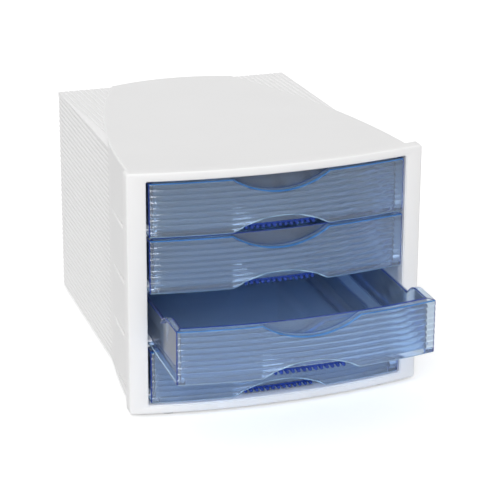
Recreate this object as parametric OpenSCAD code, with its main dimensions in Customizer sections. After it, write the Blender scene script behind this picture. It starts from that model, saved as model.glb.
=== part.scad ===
// Desktop unit with four drawers: a pale moulded case with a bowed front frame, fluted sides and
// flared front tiers, and four clear drawers with reeded fronts.
// Millimetres. The front faces -Y and +Z is up. The origin is on the desk, under the middle of
// the whole unit as it stands with one drawer drawn out.

/* [Front frame] */
// Width across the front frame
frame_w = 290; // [284:1:320]
// Height of the front frame, without the feet
frame_h = 240; // [228:1:270]
// Depth of the front frame from face to back
frame_t = 12; // [8:0.5:16]
// How far the front bows out at the middle
front_bow = 16.5; // [10:0.5:22]
// Width of the frame's side rails
frame_side = 17.6; // [16:0.2:22]
// Height of the frame's top and bottom rails
frame_rail = 8.5; // [7:0.5:12]
// Radius of the frame's outer corners
frame_corner = 3; // [1:0.5:5]
// Radius of the opening's corners
opening_corner = 2; // [1:0.5:4]
// Width and depth of the small step round the opening
opening_step = 1; // [0.5:0.1:1.5]
// Radius on the frame's long front edges
frame_edge = 1.6; // [0.5:0.1:2.5]
// Thickness of the frame's skin
frame_skin = 2.4; // [1.8:0.1:3]

/* [Case] */
// Depth from the frame's side edges to the rear corners
case_d = 345; // [320:1:380]
// Thickness of the case's walls
wall = 2.4; // [1.8:0.1:3]
// How far the case's sides stand in from the frame's sides, where the flare begins
side_inset = 18; // [16:0.5:22]
// How much further each side stands in at the rear
side_draft = 2; // [1:0.1:2.4]
// Depth at which the sides begin to flare towards the frame
flare_y = 132; // [110:1:150]
// How far the flare stops short of the frame's side
flare_step = 6.2; // [3:0.2:9]
// Width of the curved middle of the back, where it leaves the rear edge
crown_rear_w = 135; // [110:1:160]
// How far the curved middle of the back stands out
crown_bulge = 15; // [8:0.5:20]
// Height of the rear corners above the case's underside
rear_h = 218.5; // [210:0.5:240]
// Drop from the frame's top edge to the top panel
top_drop = 4; // [2:0.5:6]
// Height by which the smooth top panel stands above the fluted corners
crown_raise = 1.4; // [0.8:0.1:2]
// Width of the bevel round the smooth top panel
crown_bevel = 1.6; // [0.8:0.1:2.5]
// Height of the fluted sides where the flare begins
side_h = 222.5; // [214:0.5:236]

/* [Flutes and tiers] */
// Height of the plinth under the lowest tier
plinth_h = 1.5; // [1:0.1:4]
// How far each tier leans in, from its top edge to its foot, beside the frame
tier_lean = 3.8; // [2:0.1:5]
// Number of flutes on each tier of the sides
flutes_per_tier = 10; // [6:1:12]
// Spacing of the flutes on the rear corners of the top
top_flute_pitch = 5.5; // [4.5:0.1:7]
// Width of the groove between flutes
groove_w = 2; // [1.2:0.1:2.4]
// Depth of the groove between flutes
groove_d = 0.7; // [0.4:0.1:1]

/* [Feet] */
// Height of the feet
foot_h = 3.5; // [2:0.1:6]
// Diameter of the feet
foot_d = 21.5; // [16:0.5:26]
// Distance from the case's side to the middle of each foot
foot_in = 21; // [14:1:32]
// Depth of the front feet's centres
foot_front_y = 9; // [4:0.5:14]
// Distance from the rear feet's centres to the rear edge
foot_rear_in = 24; // [16:1:40]

/* [Drawers] */
// Gap between one drawer front and the next
front_gap = 3; // [2.6:0.1:5]
// Gap between the drawer fronts and the top and bottom of the opening
end_gap = 2.2; // [1.5:0.1:3]
// Gap between the drawer fronts and the sides of the opening
side_gap = 2.4; // [1.5:0.1:3]
// Number of reeds across each drawer front
reeds = 9; // [6:1:12]
// How far each reed stands out
reed_h = 0.9; // [0.4:0.1:1.4]
// Thickness of the drawer front over its reeds
front_t = 2.8; // [2:0.1:3.5]
// Depth of the ledge on top of each drawer front
ledge_d = 11.2; // [9:0.2:14]
// Thickness of the drawers' walls and ledges
tray_wall = 1.8; // [1.4:0.1:2.2]
// Width of the lip and runner outside each drawer side
lip_w = 5.2; // [4:0.1:6]
// Width of the finger scoop
scoop_w = 94; // [70:1:110]
// Depth of the finger scoop
scoop_h = 14.4; // [9:0.2:17]
// Height of the arch under the drawer front
arch_h = 13.1; // [8:0.1:16]
// Distance the cheeks run back at full height
cheek_d = 52; // [40:1:70]
// Length of the curve at the end of the cheeks
cheek_curve = 20; // [14:1:26]
// Drop from the cheeks to the tray's rim
rim_drop = 10.4; // [7:0.2:14]
// Width of the small lip outside the tray's rim
rim_lip = 1.2; // [0.6:0.1:1.6]
// Further fall of the rim towards the back
rim_fall = 5; // [4:0.5:10]
// Space between the drawer's back and the case's back
back_gap = 8; // [5:0.5:20]
// Number of grip beads under each front
beads = 13; // [9:2:15]
// Spacing of the grip beads
bead_pitch = 5.5; // [4.6:0.1:6]
// Distance that the third drawer is drawn out
show_open = 86; // [0:1:200]

/* [Runner rails] */
// Thickness of the rail under the runner, and of the keeper over it
rail_t = 2; // [1.6:0.1:2.2]
// Width by which the rail reaches under the drawer's side
rail_reach = 1.2; // [0.6:0.1:2]
// Thickness of the web that joins the rail to its keeper
rail_web = 0.8; // [0.5:0.1:1]
// Running clearance between the drawers and the case
run_gap = 0.3; // [0.2:0.05:0.4]
// Seating gap between curved pieces that are fixed together
seat_gap = 0.1; // [0.05:0.01:0.2]

/* [Hidden] */
drawers = 4;
open_drawer = 3;
arc_fn = 360;
round_fn = 64;
edge_fn = 24;
over = 1;
far = 2 * (frame_w + case_d);
case_color = [0.90, 0.90, 0.91];
foot_color = [0.80, 0.80, 0.80];
drawer_color = [0.55, 0.68, 0.86, 0.6];

// Half widths, counted from the middle of the case
frame_x = frame_w / 2;
opening_x = frame_x - frame_side;
flare_x = frame_x - flare_step;
case_x = frame_x - side_inset;
foot_x = case_x - foot_in;
rear_x = case_x - side_draft;
front_x = opening_x - side_gap;
tray_x = front_x - lip_w;

// The bow of the front: a vertical cylinder that the frame and all drawer fronts share
bow_r = (pow(frame_x, 2) + pow(front_bow, 2)) / (2 * front_bow);
bow_y = bow_r - front_bow;
bow_half = asin(frame_x / bow_r) + 1;

// Heights above the case's underside
opening_h = frame_h - 2 * frame_rail;
front_h = (opening_h - 2 * end_gap - (drawers - 1) * front_gap) / drawers;
pitch = front_h + front_gap;
tier_h = (side_h - plinth_h) / drawers;
flute_pitch = tier_h / flutes_per_tier;
roof_h = frame_h - top_drop;
roof_rear_h = rear_h + crown_raise;
roof_angle = atan((roof_h - roof_rear_h) / (case_d - frame_t));
plate_t = wall + crown_raise;
flare_top_h = roof_rear_h - crown_raise + (case_d - flare_y) * tan(roof_angle);
flange = 8;
draft_angle = atan(side_draft / (case_d - flare_y));

// The sides' long curve in plan, through its width at the frame, at the flare and at the rear
crown_arc = circle_through([flare_x, frame_t], [case_x, flare_y], [crown_rear_w / 2, case_d]);
inner_arc = circle_through([flare_x - tier_lean - wall, frame_t], [case_x - wall, flare_y],
                           [crown_rear_w / 2 - wall, case_d]);
foot_arc = circle_through([flare_x - tier_lean, frame_t], [case_x, flare_y],
                          [crown_rear_w / 2, case_d]);
bulge_r = (pow(crown_rear_w / 2, 2) + pow(crown_bulge, 2)) / (2 * crown_bulge);

// Drawer sizes, from the drawer's own underside
runner_lift = 0.5;
runner_h = 2.4;
floor_lift = 2.4;
tray_back = case_d - wall - back_gap;
rear_runner_x = rear_x - wall - seat_gap - rail_web - 2 * run_gap;
cheek_y = bow_at(front_x) + cheek_d;
rim_h = front_h - rim_drop;
rear_rim_h = rim_h - rim_fall;
reed_pitch = front_h / reeds;
reed_r = (pow(reed_pitch / 2, 2) + pow(reed_h, 2)) / (2 * reed_h);
cheek_r = (pow(cheek_curve, 2) + pow(rim_drop, 2)) / (2 * rim_drop);
scoop_r = (pow(scoop_w / 2, 2) + pow(scoop_h, 2)) / (2 * scoop_h);
arch_r = (pow(scoop_w / 2, 2) + pow(arch_h, 2)) / (2 * arch_h);
bead_r = 1.7;
bead_l = 5;

// Rail heights, from the drawer's own underside
rail_top = runner_lift - run_gap;
keeper_z = runner_lift + runner_h + run_gap;

// The origin's depth, half way between the open drawer's face and the back's curve
mid_y = (case_d + crown_bulge - front_bow - show_open) / 2;

// Centre and radius of the circle through three points
function circle_through(a, b, c) =
    let (d = 2 * (a.x * (b.y - c.y) + b.x * (c.y - a.y) + c.x * (a.y - b.y)),
         x = (a * a * (b.y - c.y) + b * b * (c.y - a.y) + c * c * (a.y - b.y)) / d,
         y = (a * a * (c.x - b.x) + b * b * (a.x - c.x) + c * c * (b.x - a.x)) / d)
    [x, y, norm(a - [x, y])];

// Depth of the front face at a given distance from the middle
function bow_at(x) = bow_y - sqrt(pow(bow_r, 2) - pow(x, 2));

// Height of a drawer's underside; drawer 1 is the top one
function drawer_z(i) = frame_rail + end_gap + (drawers - i) * pitch;

// ---- Shapes that several pieces share ----

// Puts a shape that is drawn from the case's underside and the frame's ends into place
module placed() {
    translate([0, -mid_y, foot_h]) children();
}

// Lays a shape that is drawn with its top at z = 0 along the slope of the top panel
module sloped() {
    translate([0, case_d, roof_rear_h]) rotate([-roof_angle, 0, 0])
        translate([0, -case_d, 0]) children();
}

// Everything on one side of the plane through three points
module beyond(a, b, c) {
    n = cross(b - a, c - a);
    translate(a) rotate([0, acos(n.z / norm(n)), atan2(n.y, n.x)])
        translate([-far, -far, 0]) cube([2 * far, 2 * far, far]);
}

// A solid upright disc whose edge follows the bow, set in from the front face
module bow_disc(inset, z0, z1) {
    translate([0, bow_y, z0]) cylinder(r = bow_r - inset, h = z1 - z0, $fn = arc_fn);
}

// A profile of depth and height, swept along the bow; x in the profile is the distance
// in front of the bow's centre
module bowed() {
    translate([0, bow_y, 0]) rotate([0, 0, -90 - bow_half])
        rotate_extrude(angle = 2 * bow_half, $fn = arc_fn) children();
}

// A rectangle with round corners, centred on x and standing on y = z0
module round_rect(half_w, z0, h, r) {
    for (x = [-1, 1], z = [z0 + r, z0 + h - r])
        translate([x * (half_w - r), z]) circle(r, $fn = edge_fn);
    translate([r - half_w, z0]) square([2 * (half_w - r), h]);
    translate([-half_w, z0 + r]) square([2 * half_w, h - 2 * r]);
}

// Sweeps an outline of width and height from front to back
module through() {
    translate([0, case_d, 0]) rotate([90, 0, 0]) linear_extrude(2 * case_d) children();
}

// Sweeps a profile of depth and height from side to side
module across() {
    translate([-frame_x, 0, 0]) rotate([90, 0, 90]) linear_extrude(frame_w) children();
}

// A shape and its mirror image on the other side
module both_sides() {
    children();
    mirror([1, 0, 0]) children();
}

// Everything above the slope of the top panel, lowered by a given depth at a given place
module above_slope(y, z) {
    translate([0, y, z]) rotate([-roof_angle, 0, 0])
        translate([-far, -far, 0]) cube([2 * far, 2 * far, far]);
}

// ---- Plans of the case ----

// The plan between the two long side arcs, from the front to a given depth
module between_arcs(arc, inset, back) {
    intersection() {
        translate([arc.x, arc.y]) circle(arc.z - inset, $fn = arc_fn);
        translate([-arc.x, arc.y]) circle(arc.z - inset, $fn = arc_fn);
        translate([-frame_x, -front_bow]) square([frame_w, front_bow + back]);
    }
}

// The curved middle of the back, beyond the rear edge
module bulge_plan(inset) {
    intersection() {
        translate([0, case_d + crown_bulge - bulge_r]) circle(bulge_r - inset, $fn = arc_fn);
        translate([-frame_x, case_d - wall]) square([frame_w, 2 * crown_bulge]);
        translate([inset - crown_rear_w / 2, 0]) square([crown_rear_w - 2 * inset, 2 * case_d]);
    }
}

// The straight, slightly tapered part behind the flare
module box_plan(inset, back_inset) {
    polygon([[inset - case_x, flare_y], [case_x - inset, flare_y],
             [rear_x - inset, case_d - back_inset], [inset - rear_x, case_d - back_inset]]);
}

// The case's inside
module cavity_plan(inset) {
    between_arcs(inner_arc, inset, flare_y);
    box_plan(wall + inset, wall + inset);
}

// The middle of the case, inside the flanges of the sides, to a given distance past the rear
module core_plan(past) {
    inner_x = case_x - flange;
    slope = side_draft / (case_d - flare_y);
    rear_in = inner_x - slope * (case_d + past - flare_y);
    polygon([[-inner_x, -front_bow], [inner_x, -front_bow], [inner_x, flare_y],
             [rear_in, case_d + past], [-rear_in, case_d + past], [-inner_x, flare_y]]);
}

// ---- Solids that shape the case ----

// Everything above the fluted corners' bevel, on the right
module beyond_bevel(inset) {
    rear = [rear_x, case_d, rear_h];
    front = [case_x, flare_y, side_h];
    translate([-inset * sqrt(2), 0, 0]) beyond(rear, front + [-1, 0, 1], front);
}

// The space inside the right wall, narrowed under the bevel of the top
module side_cavity() {
    difference() {
        translate([0, 0, wall]) linear_extrude(2 * frame_h) cavity_plan(0);
        intersection() {
            beyond_bevel(wall);
            translate([0, flare_y, 0]) cube([frame_w, case_d, 2 * frame_h]);
        }
    }
}

// A groove across the profile of a fluted face at x = 0, cut into the side of lower x
module groove(z) {
    half = groove_w / 2 * (1 + over / groove_d);
    translate([0, z]) polygon([[-groove_d, 0], [over, half], [over, -half]]);
}

// The fluted wall behind the flare, on the right
module fluted_wall() {
    length = (case_d - flare_y) / cos(draft_angle) + over;
    lap = 3;
    translate([case_x, flare_y, 0]) rotate([0, 0, draft_angle]) translate([0, length, 0])
        rotate([90, 0, 0]) linear_extrude(length + lap) difference() {
            translate([-flange - over, 0]) square([flange + over, roof_h]);
            for (k = [0 : drawers * flutes_per_tier - 1]) groove(plinth_h + k * flute_pitch);
        }
}

// A thin slice of the flare, parallel to the top panel, on the right
module flare_slice(arc, z, t) {
    translate([0, flare_y, z]) rotate([-roof_angle, 0, 0]) translate([0, -flare_y, 0])
        linear_extrude(t) intersection() {
            between_arcs(arc, 0, flare_y);
            translate([case_x - flange - over, 0]) square([frame_x, flare_y]);
        }
}

// One leaning tier of the flare, on the right
module tier(k) {
    slice = 0.2;
    lap = 0.6;
    z0 = plinth_h + k * tier_h;
    z1 = k < drawers - 1 ? z0 + tier_h : flare_top_h;
    hull() {
        flare_slice(foot_arc, z0 - lap, slice);
        flare_slice(crown_arc, z1 - slice, slice);
    }
}

// The plinth under the lowest tier, on the right
module plinth() {
    difference() {
        linear_extrude(tier_h / 2) intersection() {
            between_arcs(crown_arc, 0, flare_y);
            translate([case_x - flange - over, 0]) square([frame_x, flare_y]);
        }
        above_slope(flare_y, plinth_h);
    }
}

// ---- The case's pieces ----

module side_wall() {
    color(case_color) intersection() {
        difference() {
            union() {
                fluted_wall();
                for (k = [0 : drawers - 1]) tier(k);
                plinth();
            }
            side_cavity();
            translate([0, 0, -over]) linear_extrude(2 * frame_h) core_plan(2 * over);
            above_slope(case_d, roof_rear_h - plate_t);
            intersection() {
                beyond_bevel(0);
                translate([0, flare_y, 0]) cube([frame_w, case_d, 2 * frame_h]);
            }
        }
        bow_disc(frame_t, 0, frame_h);
        translate([0, -front_bow, 0]) cube([frame_w, case_d + front_bow, frame_h]);
    }
}

module side_left() {
    placed() mirror([1, 0, 0]) side_wall();
}

module side_right() {
    placed() side_wall();
}

// The smooth panel on the top, with its bevelled edge
module crown_pad() {
    base_r = crown_arc.z - seat_gap;
    sloped() translate([0, 0, -crown_raise]) {
        intersection() {
            translate([crown_arc.x, crown_arc.y, 0])
                cylinder(h = crown_raise, r1 = base_r, r2 = base_r - crown_bevel, $fn = arc_fn);
            translate([-crown_arc.x, crown_arc.y, 0])
                cylinder(h = crown_raise, r1 = base_r, r2 = base_r - crown_bevel, $fn = arc_fn);
            translate([-frame_x, -front_bow - over, 0])
                cube([frame_w, case_d + front_bow + over, crown_raise]);
        }
        intersection() {
            translate([0, case_d + crown_bulge - bulge_r, 0])
                cylinder(h = crown_raise, r1 = bulge_r - seat_gap,
                         r2 = bulge_r - seat_gap - crown_bevel, $fn = arc_fn);
            translate([-frame_x, case_d - over, 0])
                cube([frame_w, 2 * crown_bulge, crown_raise]);
            translate([crown_bevel - crown_rear_w / 2, 0, 0])
                cube([crown_rear_w - 2 * crown_bevel, 2 * case_d, crown_raise]);
        }
    }
}

// Grooves between the flutes of a rear corner, on the right
module corner_grooves() {
    count = floor((rear_x - crown_rear_w / 2) / top_flute_pitch);
    difference() {
        sloped() for (k = [1 : count])
            translate([rear_x - k * top_flute_pitch, case_d + over, -crown_raise])
                rotate([90, 0, 0]) linear_extrude(case_d - flare_y + 2 * over)
                    rotate([0, 0, 90]) groove(0);
        linear_extrude(2 * frame_h) between_arcs(crown_arc, 0, case_d);
    }
}

module top_cover() {
    placed() color(case_color) intersection() {
        union() {
            difference() {
                linear_extrude(2 * frame_h) {
                    between_arcs(crown_arc, 0, flare_y);
                    box_plan(0, 0);
                    bulge_plan(0);
                }
                above_slope(case_d, rear_h);
                both_sides() corner_grooves();
                both_sides() intersection() {
                    beyond_bevel(0);
                    translate([0, flare_y, 0]) cube([frame_w, case_d, 2 * frame_h]);
                }
            }
            crown_pad();
        }
        above_slope(case_d, roof_rear_h - plate_t);
        bow_disc(frame_t, 0, 2 * frame_h);
    }
}

module back_panel() {
    placed() color(case_color) difference() {
        linear_extrude(roof_h) {
            intersection() {
                core_plan(0);
                translate([-frame_x, case_d - wall]) square([frame_w, wall]);
            }
            bulge_plan(0);
        }
        translate([0, 0, -over]) linear_extrude(2 * frame_h) bulge_plan(wall);
        above_slope(case_d, roof_rear_h - plate_t);
    }
}

module base_plate() {
    placed() color(case_color) intersection() {
        linear_extrude(wall) {
            intersection() {
                core_plan(0);
                translate([-frame_x, -front_bow])
                    square([frame_w, case_d - wall + front_bow]);
            }
            bulge_plan(wall);
        }
        bow_disc(frame_t, -over, frame_h);
    }
}

// The frame's section through a rail, its front edges rounded
module frame_section() {
    back = bow_r - frame_t;
    for (z = [frame_edge, frame_h - frame_edge])
        translate([bow_r - frame_edge, z]) circle(frame_edge, $fn = edge_fn);
    translate([back, 0]) square([frame_t - frame_edge, frame_h]);
    translate([back, frame_edge]) square([frame_t, frame_h - 2 * frame_edge]);
}

module front_frame() {
    placed() color(case_color) difference() {
        intersection() {
            bowed() frame_section();
            through() round_rect(frame_x, 0, frame_h, frame_corner);
        }
        through() round_rect(opening_x, frame_rail, opening_h, opening_corner);
        intersection() {
            bowed() translate([bow_r - opening_step, 0]) square([2 * opening_step, frame_h]);
            through() round_rect(opening_x + opening_step, frame_rail - opening_step,
                                 opening_h + 2 * opening_step, opening_corner + opening_step);
        }
        intersection() {
            bowed() translate([bow_r - 2 * frame_t, 0])
                square([2 * frame_t - frame_skin, frame_h]);
            through() difference() {
                round_rect(frame_x - frame_skin, frame_skin, frame_h - 2 * frame_skin,
                           frame_corner);
                round_rect(opening_x + frame_skin, frame_rail - frame_skin,
                           opening_h + 2 * frame_skin, opening_corner + frame_skin);
            }
        }
    }
}

// ---- Runner rails and feet ----

// A slice of a rail on the right: what of the case's inside lies beyond a given width
module rail_slice(z, t, in_x) {
    translate([0, 0, z]) linear_extrude(t) difference() {
        cavity_plan(seat_gap);
        translate([-far, -far]) square([far + in_x, 2 * far]);
    }
}

// A rail under the drawer's runner, with its web against the side and the keeper above
module rail(i) {
    color(case_color) translate([0, 0, drawer_z(i)]) intersection() {
        union() {
            rail_slice(rail_top - rail_t, rail_t, tray_x - rail_reach);
            rail_slice(keeper_z, rail_t, tray_x + 2 * run_gap);
            translate([0, 0, rail_top - rail_t])
                linear_extrude(keeper_z + 2 * rail_t - rail_top) intersection() {
                    difference() {
                        cavity_plan(seat_gap);
                        cavity_plan(seat_gap + rail_web);
                    }
                    translate([0, -front_bow]) square([frame_x, case_d + front_bow - 2 * wall]);
                }
        }
        bow_disc(frame_t + seat_gap, -pitch, pitch);
        translate([0, -front_bow, -pitch])
            cube([frame_x, case_d + front_bow - 2 * wall, 2 * pitch]);
    }
}

module rail_left(i) {
    placed() mirror([1, 0, 0]) rail(i);
}

module rail_right(i) {
    placed() rail(i);
}

module foot(side, y) {
    edge = 0.8;
    placed() color(foot_color) translate([side * foot_x, y, -foot_h]) {
        cylinder(r1 = foot_d / 2 - edge, r2 = foot_d / 2, h = edge, $fn = round_fn);
        translate([0, 0, edge]) cylinder(r = foot_d / 2, h = foot_h - edge, $fn = round_fn);
    }
}

// ---- Drawers ----

// Puts a drawer's piece into its place; the third drawer stands drawn out
module in_bay(i) {
    placed() translate([0, i == open_drawer ? -show_open : 0, drawer_z(i)])
        color(drawer_color) children();
}

// The scoop's outline in front view, or the outside of its trough
module scoop_outline(t) {
    translate([0, front_h - scoop_h + scoop_r]) circle(scoop_r + t, $fn = arc_fn);
}

// The plan in front of the mitre between the ledge and the side lips
module ledge_plan(gap) {
    inner = [tray_x, bow_at(tray_x) + ledge_d - tray_wall / 2 + gap];
    outer = [front_x, bow_at(front_x) + gap];
    polygon([[-outer.x, -front_bow - over], [outer.x, -front_bow - over], outer, inner,
             [-inner.x, inner.y], [-outer.x, outer.y]]);
}

// The space between the front plate and the tray's front wall
module behind_front(z0, z1) {
    difference() {
        bow_disc(front_t - reed_h, z0, z1);
        bow_disc(ledge_d - tray_wall - seat_gap, z0 - over, z1 + over);
    }
}

// The front plate's section with its reeds
module reeded_section() {
    intersection() {
        union() {
            translate([bow_r - front_t, 0]) square([front_t - reed_h, front_h]);
            for (k = [0 : reeds - 1])
                translate([bow_r - reed_r, (k + 0.5) * reed_pitch])
                    circle(reed_r, $fn = round_fn);
        }
        translate([bow_r - front_t, 0]) square([2 * front_t, front_h]);
    }
}

module drawer_front(i) {
    in_bay(i) {
        difference() {
            intersection() {
                bowed() reeded_section();
                translate([-front_x, -2 * front_bow, 0]) cube([2 * front_x, frame_w, front_h]);
            }
            through() scoop_outline(0);
            through() translate([0, arch_h - arch_r]) circle(arch_r, $fn = arc_fn);
        }
        intersection() {
            difference() {
                behind_front(0, front_h);
                through() scoop_outline(0);
            }
            union() {
                translate([0, 0, front_h - tray_wall]) linear_extrude(2 * tray_wall) ledge_plan(0);
                through() intersection() {
                    scoop_outline(tray_wall);
                    translate([-scoop_w, 0]) square([2 * scoop_w, front_h]);
                }
            }
        }
    }
}

// The tray's side view, with the high cheeks at the front and the sloping rim behind
module tray_profile() {
    curve_y = cheek_y - cheek_curve;
    translate([-2 * front_bow, 0]) square([curve_y + 2 * front_bow, front_h]);
    intersection() {
        translate([curve_y, front_h - cheek_r]) circle(cheek_r, $fn = round_fn);
        translate([curve_y - over, 0]) square([cheek_curve + 2 * over, front_h]);
    }
    polygon([[0, 0], [0, rim_h], [curve_y, rim_h], [tray_back, rear_rim_h], [tray_back, 0]]);
}

// The tray's plan inside a given half width, front inset and back
module tray_plan(half_w, back) {
    translate([-half_w, -2 * front_bow]) square([2 * half_w, back + 2 * front_bow]);
}

// Lips along the tops of the cheeks and rims
module tray_lips() {
    intersection() {
        across() difference() {
            tray_profile();
            translate([0, -tray_wall]) tray_profile();
        }
        linear_extrude(2 * front_h) difference() {
            union() {
                tray_plan(front_x, cheek_y);
                tray_plan(tray_x + rim_lip, tray_back);
            }
            ledge_plan(seat_gap);
        }
        bow_disc(front_t + seat_gap, 0, 2 * front_h);
    }
}

// Runners along the bottoms of the sides
module tray_runners() {
    inner = 3.3;
    intersection() {
        translate([0, 0, runner_lift]) linear_extrude(runner_h) both_sides()
            polygon([[tray_x - inner, -front_bow], [front_x, -front_bow], [front_x, 0],
                     [rear_runner_x, tray_back], [tray_x - inner, tray_back]]);
        bow_disc(front_t + seat_gap, 0, front_h);
    }
}

// A row of beads under the front wall, for the fingers
module grip_beads() {
    for (k = [0 : beads - 1]) {
        x = (k - (beads - 1) / 2) * bead_pitch;
        translate([x, bow_at(x) + ledge_d - tray_wall / 2, floor_lift]) rotate([90, 0, 0])
            cylinder(r = bead_r, h = bead_l, $fn = round_fn);
    }
}

module drawer_tray(i) {
    wall_d = ledge_d - tray_wall;
    in_bay(i) difference() {
        union() {
            intersection() {
                across() tray_profile();
                translate([0, 0, floor_lift]) linear_extrude(front_h)
                    tray_plan(tray_x, tray_back);
                bow_disc(wall_d, 0, 2 * front_h);
            }
            tray_lips();
            tray_runners();
            grip_beads();
        }
        intersection() {
            translate([0, 0, floor_lift + tray_wall]) linear_extrude(2 * front_h)
                tray_plan(tray_x - tray_wall, tray_back - tray_wall);
            bow_disc(ledge_d, 0, 3 * front_h);
        }
    }
}

front_frame();
side_left();
side_right();
top_cover();
back_panel();
base_plate();
rail_left(1);  // rail_left_1
rail_left(2);  // rail_left_2
rail_left(3);  // rail_left_3
rail_left(4);  // rail_left_4
rail_right(1);  // rail_right_1
rail_right(2);  // rail_right_2
rail_right(3);  // rail_right_3
rail_right(4);  // rail_right_4
foot(-1, foot_front_y);  // foot_front_left
foot(1, foot_front_y);  // foot_front_right
foot(-1, case_d - foot_rear_in);  // foot_rear_left
foot(1, case_d - foot_rear_in);  // foot_rear_right
drawer_tray(1);  // drawer_1_tray
drawer_tray(2);  // drawer_2_tray
drawer_tray(3);  // drawer_3_tray
drawer_tray(4);  // drawer_4_tray
drawer_front(1);  // drawer_1_front
drawer_front(2);  // drawer_2_front
drawer_front(3);  // drawer_3_front
drawer_front(4);  // drawer_4_front
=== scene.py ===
import math

import bmesh
import bpy
from bpy.props import FloatProperty, FloatVectorProperty, IntProperty, PointerProperty
from mathutils import Matrix, Vector


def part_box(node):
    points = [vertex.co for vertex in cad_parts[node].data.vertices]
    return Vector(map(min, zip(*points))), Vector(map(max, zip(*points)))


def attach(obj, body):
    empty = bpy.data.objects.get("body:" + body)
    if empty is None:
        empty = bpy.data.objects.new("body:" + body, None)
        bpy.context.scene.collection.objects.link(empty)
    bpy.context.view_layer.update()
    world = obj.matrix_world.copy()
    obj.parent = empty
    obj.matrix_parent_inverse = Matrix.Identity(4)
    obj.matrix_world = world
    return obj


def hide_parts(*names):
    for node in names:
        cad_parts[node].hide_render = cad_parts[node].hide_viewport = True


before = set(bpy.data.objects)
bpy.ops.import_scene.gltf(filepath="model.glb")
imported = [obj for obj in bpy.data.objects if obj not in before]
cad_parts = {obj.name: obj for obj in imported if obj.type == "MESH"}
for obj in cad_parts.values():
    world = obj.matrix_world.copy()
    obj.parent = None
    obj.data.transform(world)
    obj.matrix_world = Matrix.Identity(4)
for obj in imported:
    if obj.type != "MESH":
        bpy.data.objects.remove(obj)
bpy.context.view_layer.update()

bl_info = {
    "name": "Desktop Drawer Unit",
    "version": (1, 0, 0),
    "blender": (4, 5, 0),
    "location": "3D View > Sidebar > Drawer Unit",
    "description": "Dresses a moulded desktop unit with four clear, reeded drawers, and its stage",
    "category": "Add Mesh",
}

MM = 0.001
MERGE = 2e-6
GAP = 0.1 * MM
BOW_MM = 16.5
DRAWERS = (1, 2, 3, 4)
FRAME_LOW, FRAME_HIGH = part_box("front_frame")
HALF_WIDTH = FRAME_HIGH.x
FRONT_LOW, FRONT_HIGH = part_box("drawer_1_front")
FRONT_HALF = FRONT_HIGH.x
FRONT_HEIGHT = FRONT_HIGH.z - FRONT_LOW.z

# The case: depths from the plane of the bow's ends, half widths, and heights over the frame's foot
CASE_BACK = 345 * MM
CASE_HALF = 127 * MM
FLARE = 132 * MM
FLARE_STEPS = 16
FLUTED_DEPTHS = (FLARE, 200 * MM, 264 * MM, 300 * MM)
REAR_ROUND_MM = ((0.0, 0.5), (0.15, 0.15), (0.5, 0.0))
CROWN_INSET = 6.2 * MM
CURVE_REAR = 67.5 * MM
FLANGE = 8 * MM
SIDE_TAPER = 2 * MM
SIDE_TOP = 222.5 * MM
TOP_TIER = 61.55 * MM
PLINTH = 1.5 * MM
ROOF_REAR = 219.9 * MM
ROOF_STEP = 3.8 * MM
ROOF_SLOPE = 16.1 / 333
FLUTE_STEPS = (-1.0, -0.6, -0.25, 0.0, 0.25, 0.6, 1.0)

# A drawer front's edges: small edges, rim, rear rim, foot's rim and foot's rise, then the rear band;
# the rim carries a painted highlight, the foot's rim a painted glow and the rear band painted deep-blue
# shade
FRONT_EDGES_MM = (0.25, 0.8, 0.6, 0.45, 1.1)
SCOOP_EDGES_MM = (0.25, 1.15, 0.6, 0.45, 1.1)
BAND, END_BAND = 1.2 * MM, 2.4 * MM
FRONT_END = 0.7 * MM
REED_ROWS = 8

# A tray with its lips, cheeks, runners and grip beads
TRAY_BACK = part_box("drawer_1_tray")[1].y - FRAME_LOW.y - BOW_MM * MM
LIP = 5.2 * MM
RIM_LIP = 1.2 * MM
TRAY_HALF = FRONT_HALF - LIP
MITRE = 0.728 * LIP
CHEEK = 52 * MM
CHEEK_CURVE = 20 * MM
RIM_DROP = 10.4 * MM
RIM_FALL = 5 * MM
TRAY_FLOOR = 2.4 * MM
RUNNER_LIFT = 0.5 * MM
RUNNER_HEIGHT = 2.4 * MM
RUNNER_INSIDE = 3.3 * MM
RUNNER_TAPER = 3.9 * MM
BEADS = 13
BEAD_PITCH = 5.5 * MM
BEAD_RADIUS = 1.7 * MM
BEAD_SIDES = 12

# A drawer's materials: the clear plastic, and plastics with light painted in for its edges: painted
# deep-blue shade, a painted highlight on the rims and a painted glow where light comes out
CLEAR, PAINTED_SHADE, PAINTED_HIGHLIGHT, PAINTED_GLOW = range(4)
PLASTIC_IOR = 1.49

# The stage: lamps by name, setting, direction and breadth in degrees, and the floor
LAMPS = (("key_lamp", "key_power", (-0.3, -0.85, 0.55), 26),
         ("fill_lamp", "fill_power", (-0.55, -0.05, 0.9), 70))
SENSOR_MM = 36
FLOOR_RADIUS = 12
FLOOR_GAP = 0.1 * MM
FLOOR_WHITE = (0.8, 0.8, 0.8, 1)
FLOOR_LIFT = 0.36


# ---- Sizes and colours that a user would change ----


def length(name, description, size, least):
    """A length that a user can set, given in millimetres and kept in metres."""
    return FloatProperty(name=name, description=description, default=size * MM, min=least * MM,
                         unit="LENGTH")


def count(name, description, default):
    return IntProperty(name=name, description=description, default=default, min=1, max=20)


def amount(name, description, default):
    return FloatProperty(name=name, description=description, default=default, min=0.0)


def angle(name, description, degrees):
    return FloatProperty(name=name, description=description, default=math.radians(degrees),
                         subtype="ANGLE", unit="ROTATION")


def swatch(name, description, *default):
    """A colour that a user can set."""
    return FloatVectorProperty(name=name, description=description, default=default, min=0.0, max=1.0,
                               subtype="COLOR")


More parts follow.
